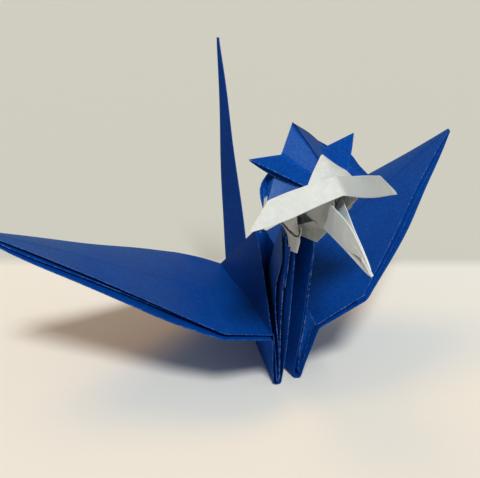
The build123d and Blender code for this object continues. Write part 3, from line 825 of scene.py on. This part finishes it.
def beak():
    """The beak, a folded strip open above: left rim, keel and right rim, from the head to the tip.

    Its bow adds fine wrinkles beside the keel, strongest near the tip.
    """
    rim = [(0.3, -30.4, 46.6), (0.1, -31.7, 46.2), (0.2, -34.1, 45.8), (0.3, -37.8, 44.9),
           (0.4, -40.8, 42.9), (0.2, -43.5, 41.5), (0.0, -46.0, 39.8)]
    keel = [(1.0, -26.6, 40.4), (1.0, -28.6, 40.1), (0.8, -33.9, 39.9), (0.6, -36.8, 39.9),
            (0.5, -41.0, 40.3), (0.2, -43.9, 39.8), (0.0, -46.1, 39.5)]
    right_rim = [(3.6, -28.2, 46.5), (3.2, -29.8, 46.1), (2.7, -32.2, 45.4), (1.9, -36.6, 43.5),
                 (1.4, -40.3, 41.9), (0.6, -44.1, 40.5), (0.0, -46.0, 39.7)]

    def wrinkles(a, b):
        """A fine sine across and along, under a bell curve round the keel that grows towards the tip."""
        near_keel = np.exp(-((a - 0.6) / 0.12) ** 2)
        return 0.3 * near_keel * np.clip((b - 0.55) / 0.3, 0, 1) * np.sin(50 * a + 12 * b)

    # Painted shade at the head end, where the brim shades the beak, and a little at the tip.
    paper("beak", [right_rim, keel, rim], lit_beak_white, steps=([10, 30], [4, 8, 10, 10, 10, 10]),
          folds=([0.5], 1.6), thick=SINGLE * 1.6, worn=([0.3, 0, 0.8], [0, 0, 0, 0, 0, 0, 0.4]),
          bow=wrinkles, shade_and_sheen=([0, 0.04, 0.0], [0.32, 0.22, 0.1, 0.04, 0.02, 0, 0, 0.04]))
    # Painted shadow along the under layer's inner edge, under the beak's wall.
    paper("beak_under_layer", [[(1.1, -28.8, 41.5), (1.0, -32.5, 41.0), (0.8, -38.0, 40.7),
                                (0.5, -41.5, 41.0), (0.2, -44.5, 40.5), (0.0, -45.8, 39.7)],
                               [(1.0, -29.3, 40.3), (0.85, -33.2, 40.0), (0.5, -38.7, 39.6),
                                (0.3, -41.8, 39.3), (0.1, -44.3, 39.2), (0.0, -46.0, 39.3)]],
          lit_beak_white, steps=(6, 6), folds=(0.3, 2.0), thick=SINGLE * 1.2, worn=([0, 0.3], None),
          shade_and_sheen=([0.9, 0.9, 0.75, 0.4, 0.1, 0.02, 0.02], [0, 0, 0, 0, 0.05, 0.2]))


# The stage

WALL = (0.635, 0.66, 0.60, 1)


def floor_material():
    """Pale table, warm near by and cool far off to the right, that turns wall-coloured behind the crane."""
    material = bpy.data.materials.new("pale_table")
    material.use_nodes = True
    tree = material.node_tree
    shader = next(n for n in tree.nodes if n.type == "BSDF_PRINCIPLED")
    split = tree.nodes.new("ShaderNodeSeparateXYZ")
    tree.links.new(tree.nodes.new("ShaderNodeTexCoord").outputs["Object"], split.inputs[0])
    sideways, deep = split.outputs["X"], split.outputs["Y"]
    coolness = remap(tree, maths(tree, sideways, deep), 0.0, 0.10)
    table = mixed(tree, coolness, (0.90, 0.865, 0.77, 1), (0.85, 0.87, 0.82, 1))
    behind = maths(tree, deep, maths(tree, sideways, 0.35, "MULTIPLY"))
    colour = mixed(tree, remap(tree, behind, 0.048, 0.056), table, WALL)
    tree.links.new(colour, shader.inputs["Base Color"])
    shader.inputs["Roughness"].default_value = 0.85
    shader.inputs["Specular IOR Level"].default_value = 0.2
    return material


def stage():
    """A wide pale floor under the crane, in metres."""
    reach = 3.0
    mesh = bpy.data.meshes.new("floor")
    corners = [(-reach, -reach, 0), (reach, -reach, 0), (reach, reach, 0), (-reach, reach, 0)]
    mesh.from_pydata(corners, [], [(0, 1, 2, 3)])
    mesh.materials.append(floor_material())
    ground = bpy.data.objects.new("floor", mesh)
    bpy.context.scene.collection.objects.link(ground)


def lamp(name, towards, spread, strength, colour):
    """Even light from one direction; a wider spread, in degrees, makes softer shadows."""
    light = bpy.data.lights.new(name, "SUN")
    light.angle, light.energy, light.color = radians(spread), strength, colour
    holder = bpy.data.objects.new(name, light)
    bpy.context.scene.collection.objects.link(holder)
    holder.location = Vector(towards).normalized() * 0.6
    holder.rotation_mode = "QUATERNION"
    holder.rotation_quaternion = Vector(towards).to_track_quat("Z", "Y")


def lights():
    """A broad cool lamp above in front, a weak warm one behind on the left, a faint one on the right."""
    lamp("front_lamp", (-0.12, -0.64, 0.90), 13.0, 2.30, (0.93, 0.97, 1.0))
    lamp("warm_lamp", (-0.22, 0.36, 0.90), 30.0, 0.66, (1.0, 0.55, 0.16))
    lamp("side_lamp", (0.62, -0.50, 0.45), 50.0, 0.20, (0.85, 0.93, 1.0))
    world = bpy.data.worlds.new("surround")
    bpy.context.scene.world = world
    world.use_nodes = True
    tree = world.node_tree
    tree.nodes.clear()
    ambient, shown = tree.nodes.new("ShaderNodeBackground"), tree.nodes.new("ShaderNodeBackground")
    ambient.inputs["Color"].default_value = (0.92, 0.95, 1.0, 1)
    ambient.inputs["Strength"].default_value = 0.22
    shown.inputs["Color"].default_value = WALL
    path, blend = tree.nodes.new("ShaderNodeLightPath"), tree.nodes.new("ShaderNodeMixShader")
    seen = maths(tree, path.outputs["Is Camera Ray"], path.outputs["Is Transmission Ray"], "MAXIMUM")
    seen = maths(tree, seen, path.outputs["Is Glossy Ray"], "MAXIMUM")
    surface = tree.nodes.new("ShaderNodeOutputWorld").inputs["Surface"]
    link_all(tree, (seen, blend.inputs[0]), (ambient.outputs[0], blend.inputs[1]),
             (shown.outputs[0], blend.inputs[2]), (blend.outputs[0], surface))


def camera():
    """The photograph's viewpoint."""
    data = bpy.data.cameras.new("camera")
    data.lens = camera_lens
    holder = bpy.data.objects.new("camera", data)
    bpy.context.scene.collection.objects.link(holder)
    a, e, r = radians(camera_azimuth), radians(camera_elevation), radians(camera_roll)
    backward = at(sin(a) * cos(e), -cos(a) * cos(e), sin(e))
    level = at(cos(a), sin(a), 0)
    steep = np.cross(backward, level)
    rightward = level * cos(r) + steep * sin(r)
    upward = steep * cos(r) - level * sin(r)
    matrix = np.eye(4)
    matrix[:3, 0], matrix[:3, 1], matrix[:3, 2] = rightward, upward, backward
    matrix[:3, 3] = np.array(camera_place) * MM
    holder.matrix_world = Matrix(matrix.tolist())
    bpy.context.scene.camera = holder


camera()
top_sheet()
lower_sheet("left_front_leg", left, True, (0.6, 1.0, 1.5, 1.5, 1.5, 0.8), front_leg(-1))
lower_sheet("right_front_leg", right, True, (0.7, 1.0, 1.0, 1.0, 1.0, 0.5), front_leg(1))
for label, side, half in (("left", -1, left), ("right", 1, right)):
    lower_sheet(label + "_back_leg", half, False, (0.35, 0.4, 0.4, 0.4, 0.4, 0.35), back_leg(side))
inner_wing_layer("left_wing_layer", left, (0.4, 0.6, 0.8, 0.8, 0.45))
inner_wing_layer("right_wing_layer", right, (0.5, 0.6, 0.6, 0.6, 0.35))
hump_inside("hump_front", -1, (0.35, -1.3, 29.75), (0, -0.6, 4.0))
hump_inside("hump_back", 1, (0.27, 9.6, 18.8), (0, 2.0, 4.0))
neck()
tail()
helmet_shell()
side_folds()
flaps()
brim()
head()
beak()
stage()
lights()
bpy.context.scene.view_settings.view_transform = "Standard"
